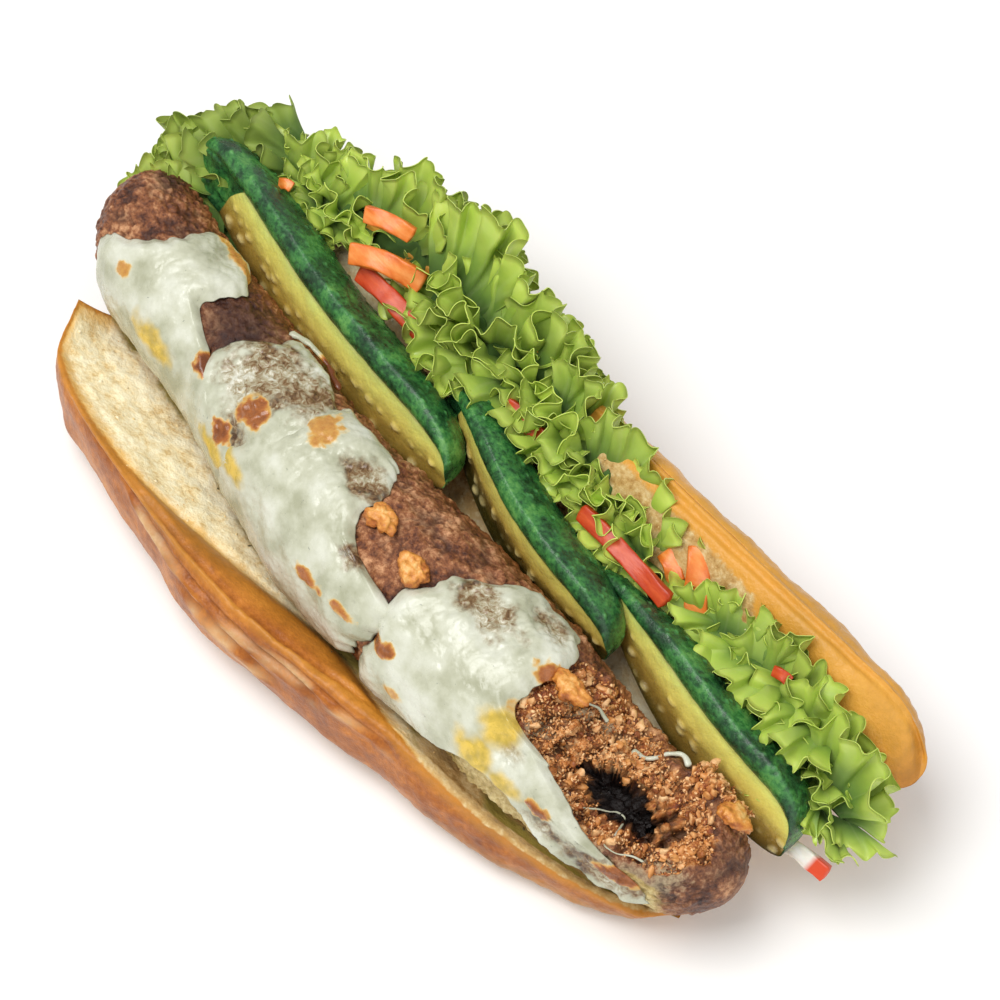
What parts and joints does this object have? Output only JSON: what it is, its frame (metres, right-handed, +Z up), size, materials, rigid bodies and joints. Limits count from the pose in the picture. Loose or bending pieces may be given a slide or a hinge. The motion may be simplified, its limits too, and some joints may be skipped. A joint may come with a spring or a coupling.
{
  "type": "banh mi sandwich",
  "caption": "Open filled bread roll with a long minced-meat log under melted cheese, pickled cucumber spears, carrot and pepper strips and curly leaf lettuce.",
  "frame": {"origin": "middle of the flat spot under the hinge of the roll, on the surface it rests on", "axes": "+X along the roll towards the torn end of the meat, +Y from the front half of the roll to the back half, +Z up"},
  "size_m": [0.269, 0.113, 0.0637],
  "materials": {
    "bread_crust": "baked golden crust with a cream crumb face",
    "browned_meat": "coarse browned minced meat, slightly greasy",
    "melted_cheese": "melted white cheese with a soft gloss",
    "toasted_cheese": "toasted, blistered cheese",
    "pickled_cucumber": "wet dark green skin and pale yellow-green flesh",
    "carrot": "moist cut carrot",
    "red_pepper": "moist cut red pepper",
    "white_radish": "moist cut white radish",
    "leaf_lettuce": "crisp frilled leaf"
  },
  "bodies": {
    "root": {"bread_roll": "bread_crust", "minced_meat_log": "browned_meat", "cheese_slice_1": "melted_cheese", "cheese_slice_2": "melted_cheese", "cheese_slice_3": "melted_cheese", "cheese_slice_4": "melted_cheese", "toasted_lump_1": "toasted_cheese", "toasted_lump_2": "toasted_cheese", "toasted_lump_3": "toasted_cheese", "toasted_lump_4": "toasted_cheese", "cucumber_spear_1": "pickled_cucumber", "cucumber_spear_2": "pickled_cucumber", "cucumber_spear_3": "pickled_cucumber", "carrot_strip_1": "carrot", "carrot_strip_2": "carrot", "carrot_strip_3": "carrot", "carrot_strip_4": "carrot", "pepper_strip_1": "red_pepper", "pepper_strip_2": "red_pepper", "pepper_strip_3": "red_pepper", "radish_strip_1": "white_radish", "lettuce_bunch_1": "leaf_lettuce", "lettuce_bunch_2": "leaf_lettuce"}
  },
  "joints": []
}
